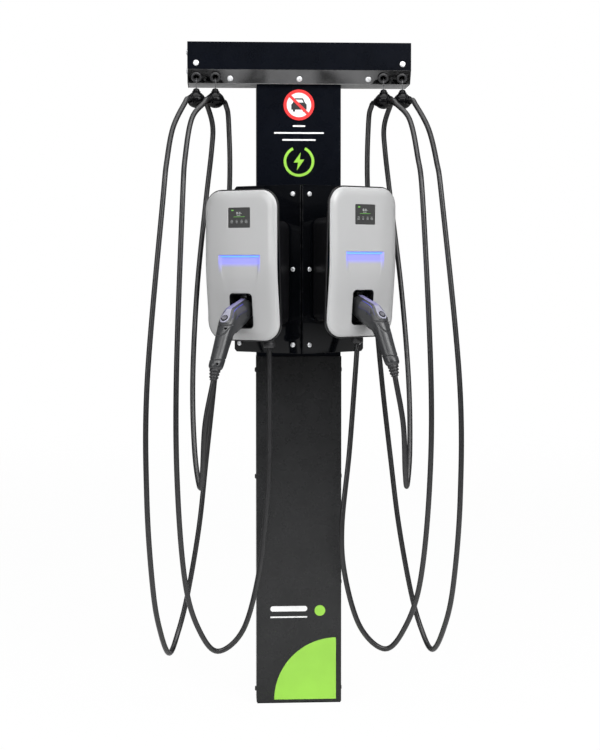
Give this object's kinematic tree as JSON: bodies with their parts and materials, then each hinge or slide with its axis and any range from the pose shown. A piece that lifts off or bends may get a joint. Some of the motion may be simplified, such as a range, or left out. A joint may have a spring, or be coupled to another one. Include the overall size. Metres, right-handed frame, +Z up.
{
  "type": "ev charging post",
  "caption": "Free-standing sheet-metal post that carries wall chargers on a V-shaped bracket, with a head box of spring retractors that hold up the charging cables.",
  "frame": {"origin": "middle of the column's footprint, on the underside of the base plate at ground level", "axes": "+Z up along the column, -Y out of the front that the chargers face, +X to the viewer's right"},
  "size_m": [1.005, 0.4528, 2.2],
  "materials": {
    "black_powder_coat": "semi-gloss powder coat",
    "access_cover_coat": "semi-gloss powder coat",
    "gloss_black_coat": "high-gloss paint",
    "zinc_plate": "zinc plated sheet",
    "steel_plate": "galvanised",
    "stainless_screw": "polished stainless",
    "spring_steel": "oiled spring steel",
    "steel_rope": "stranded rope",
    "drum_plastic": "natural moulded",
    "grommet": "matt",
    "clamp_plastic": "gloss moulded",
    "charger_shell": "fine texture",
    "charger_cover": "light grey satin-gloss",
    "display": "smoked window",
    "light_bar": "translucent, lit blue",
    "holster_plastic": "gloss moulded",
    "circuit_board": "solder resist",
    "gland_plastic": "moulded nylon",
    "grip_plastic": "fine texture",
    "grip_trim": "satin pale grey",
    "latch_button": "satin",
    "boot_rubber": "matt",
    "cable_jacket": "satin jacket"
  },
  "bodies": {
    "root": {"base_plate": "steel_plate", "post_column": "black_powder_coat", "post_front_cover": "access_cover_coat", "head_chassis": "gloss_black_coat", "head_cover": "black_powder_coat", "retractor_rail": "zinc_plate", "left_post_screws": "stainless_screw", "left_head_screws": "stainless_screw", "left_spring_arbor": "spring_steel", "left_bracket": "gloss_black_coat", "left_bracket_screws": "stainless_screw", "left_back_shell": "charger_shell", "left_front_cover": "charger_cover", "left_display": "display", "left_light_bar": "light_bar", "left_holster": "holster_plastic", "left_control_board": "circuit_board", "left_cable_gland": "gland_plastic", "left_charging_cable": "cable_jacket", "left_inner_port_ring": "grommet", "left_inner_wire": "steel_rope", "left_outer_port_ring": "grommet", "left_outer_wire": "steel_rope", "right_post_screws": "stainless_screw", "right_head_screws": "stainless_screw", "right_spring_arbor": "spring_steel", "right_bracket": "gloss_black_coat", "right_bracket_screws": "stainless_screw", "right_back_shell": "charger_shell", "right_front_cover": "charger_cover", "right_display": "display", "right_light_bar": "light_bar", "right_holster": "holster_plastic", "right_control_board": "circuit_board", "right_cable_gland": "gland_plastic", "right_charging_cable": "cable_jacket", "right_inner_port_ring": "grommet", "right_inner_wire": "steel_rope", "right_outer_port_ring": "grommet", "right_outer_wire": "steel_rope"},
    "left_inner_clamp_body": {"left_inner_clamp_upper": "clamp_plastic", "left_inner_clamp_lower": "clamp_plastic"},
    "left_inner_drum_body": {"left_inner_drum": "drum_plastic"},
    "left_outer_clamp_body": {"left_outer_clamp_upper": "clamp_plastic", "left_outer_clamp_lower": "clamp_plastic"},
    "left_outer_drum_body": {"left_outer_drum": "drum_plastic"},
    "left_plug_body": {"left_plug_handle": "grip_plastic", "left_plug_trim": "grip_trim", "left_strain_boot": "boot_rubber"},
    "left_button_body": {"left_latch_button": "latch_button"},
    "right_inner_clamp_body": {"right_inner_clamp_upper": "clamp_plastic", "right_inner_clamp_lower": "clamp_plastic"},
    "right_inner_drum_body": {"right_inner_drum": "drum_plastic"},
    "right_outer_clamp_body": {"right_outer_clamp_upper": "clamp_plastic", "right_outer_clamp_lower": "clamp_plastic"},
    "right_outer_drum_body": {"right_outer_drum": "drum_plastic"},
    "right_plug_body": {"right_plug_handle": "grip_plastic", "right_plug_trim": "grip_trim", "right_strain_boot": "boot_rubber"},
    "right_button_body": {"right_latch_button": "latch_button"}
  },
  "joints": [
    {"name": "left_inner_clamp_pull", "type": "slide", "parent": "root", "child": "left_inner_clamp_body", "axis": [0, 0, -1], "range_m": [0, 0.6], "stiffness_N_per_m": 12, "springref_m": -0.4, "deforming": ["left_inner_wire", "left_charging_cable"]},
    {"name": "left_inner_drum_spin", "type": "hinge", "parent": "root", "child": "left_inner_drum_body", "pos_m": [-0.277, -0.04, 2.135], "axis": [1, 0, 0], "range_deg": [0, 990]},
    {"name": "left_outer_clamp_pull", "type": "slide", "parent": "root", "child": "left_outer_clamp_body", "axis": [0, 0, -1], "range_m": [0, 0.6], "stiffness_N_per_m": 12, "springref_m": -0.4, "deforming": ["left_outer_wire", "left_charging_cable"]},
    {"name": "left_outer_drum_spin", "type": "hinge", "parent": "root", "child": "left_outer_drum_body", "pos_m": [-0.339, -0.04, 2.135], "axis": [1, 0, 0], "range_deg": [0, 990]},
    {"name": "left_plug_draw", "type": "slide", "parent": "root", "child": "left_plug_body", "axis": [-0.5033, -0.7323, -0.4586], "range_m": [0, 0.12], "stiffness_N_per_m": 60, "springref_m": -0.1, "deforming": ["left_charging_cable"]},
    {"name": "left_button_press", "type": "slide", "parent": "left_plug_body", "child": "left_button_body", "axis": [0.4209, 0.6124, -0.6691], "range_m": [0, 0.002], "stiffness_N_per_m": 500, "springref_m": -0.002},
    {"name": "right_inner_clamp_pull", "type": "slide", "parent": "root", "child": "right_inner_clamp_body", "axis": [0, 0, -1], "range_m": [0, 0.6], "stiffness_N_per_m": 12, "springref_m": -0.4, "deforming": ["right_inner_wire", "right_charging_cable"]},
    {"name": "right_inner_drum_spin", "type": "hinge", "parent": "root", "child": "right_inner_drum_body", "pos_m": [0.277, -0.04, 2.135], "axis": [1, 0, 0], "range_deg": [0, 990]},
    {"name": "right_outer_clamp_pull", "type": "slide", "parent": "root", "child": "right_outer_clamp_body", "axis": [0, 0, -1], "range_m": [0, 0.6], "stiffness_N_per_m": 12, "springref_m": -0.4, "deforming": ["right_outer_wire", "right_charging_cable"]},
    {"name": "right_outer_drum_spin", "type": "hinge", "parent": "root", "child": "right_outer_drum_body", "pos_m": [0.339, -0.04, 2.135], "axis": [1, 0, 0], "range_deg": [0, 990]},
    {"name": "right_plug_draw", "type": "slide", "parent": "root", "child": "right_plug_body", "axis": [0.5033, -0.7323, -0.4586], "range_m": [0, 0.12], "stiffness_N_per_m": 60, "springref_m": -0.1, "deforming": ["right_charging_cable"]},
    {"name": "right_button_press", "type": "slide", "parent": "right_plug_body", "child": "right_button_body", "axis": [-0.4209, 0.6124, -0.6691], "range_m": [0, 0.002], "stiffness_N_per_m": 500, "springref_m": -0.002}
  ],
  "couplings": [
    {"joint": "left_inner_drum_spin", "follows": "left_inner_clamp_pull", "rad_per_m": 28.571},
    {"joint": "left_outer_drum_spin", "follows": "left_outer_clamp_pull", "rad_per_m": 28.571},
    {"joint": "right_inner_drum_spin", "follows": "right_inner_clamp_pull", "rad_per_m": 28.571},
    {"joint": "right_outer_drum_spin", "follows": "right_outer_clamp_pull", "rad_per_m": 28.571}
  ]
}
